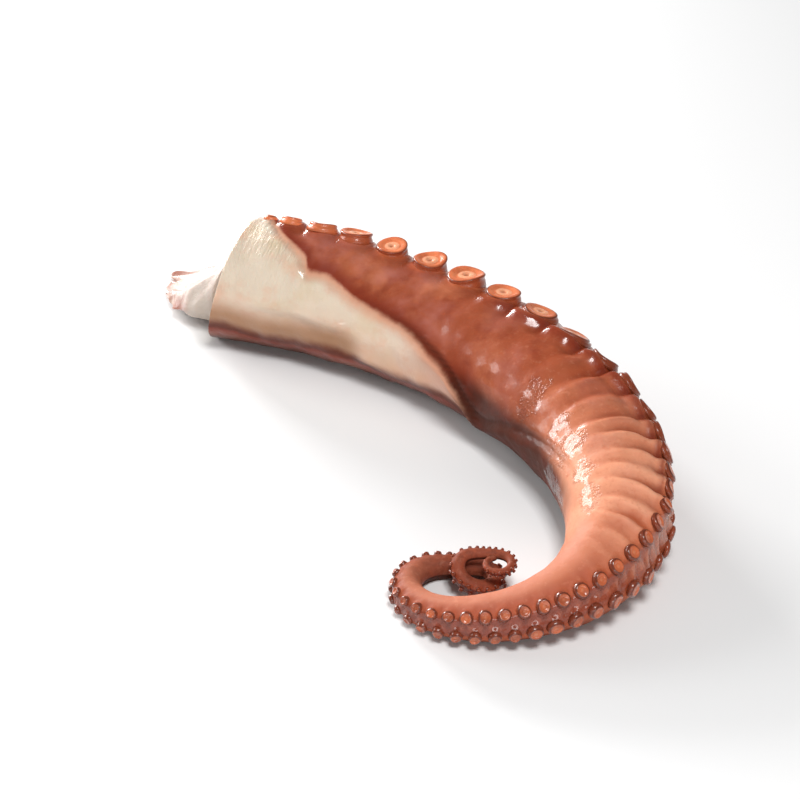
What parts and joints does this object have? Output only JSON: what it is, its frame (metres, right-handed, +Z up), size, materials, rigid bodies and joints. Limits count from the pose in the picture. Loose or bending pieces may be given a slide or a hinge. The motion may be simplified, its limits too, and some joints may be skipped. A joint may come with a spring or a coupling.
{
  "type": "cooked octopus arm",
  "caption": "Cooked octopus arm lying on its side in an open curl, cut across at the thick end, with paired rows of suckers and its tip wound up on itself.",
  "frame": {"origin": "middle of the footprint box, on the surface the arm lies on", "axes": "+Z up from the surface; +Y towards the thick cut end's side, away from the long front curve; +X towards the outside of the curl's big bend"},
  "size_m": [0.1896, 0.2286, 0.0508],
  "materials": {
    "octopus_flesh": null
  },
  "bodies": {
    "root": {"octopus_arm": "octopus_flesh"}
  },
  "joints": []
}
